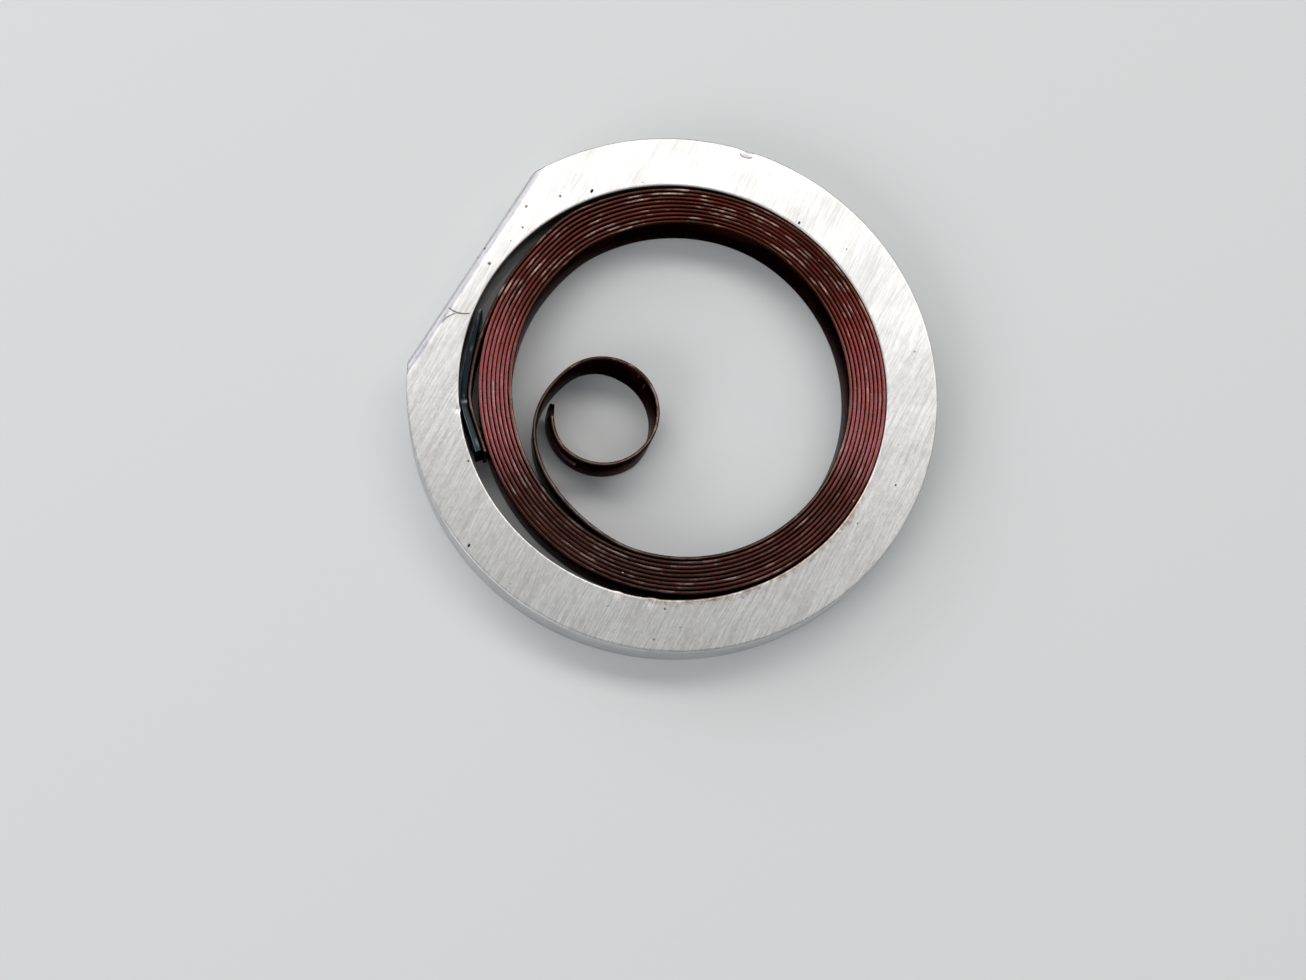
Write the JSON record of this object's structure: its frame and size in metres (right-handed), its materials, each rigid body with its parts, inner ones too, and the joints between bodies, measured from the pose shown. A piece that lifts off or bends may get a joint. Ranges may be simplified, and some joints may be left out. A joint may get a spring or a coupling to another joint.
{
  "type": "watch mainspring in retaining ring",
  "caption": "Watch mainspring coiled edge up in a flat retaining ring with a flat on its rim; round slotted eye inside, riveted bridle on the outer end, pushed out along the ring's axis.",
  "frame": {"origin": "on the ring's axis, in the ring's lower face", "axes": "+Z along the ring's axis, out of its upper face; -X towards the kink of the bridle, where the coil is pressed flat; the flat on the rim faces 148 degrees from +X towards +Y"},
  "size_m": [0.018, 0.018, 0.0017],
  "materials": {
    "ring": "brushed one way, pitted and scratched",
    "spring": "tempered brown to purple, faces blue-black",
    "bridle": "tempered blue-grey",
    "rivet": "filed steel"
  },
  "bodies": {
    "ring": {"retaining_ring": "ring"},
    "spring_pack": {"mainspring": "spring", "bridle": "bridle", "bridle_rivet_1": "rivet", "bridle_rivet_2": "rivet"}
  },
  "joints": [
    {"name": "push_out", "type": "slide", "parent": "ring", "child": "spring_pack", "axis": [0, 0, 1], "range_m": [0, 0.0015]}
  ]
}
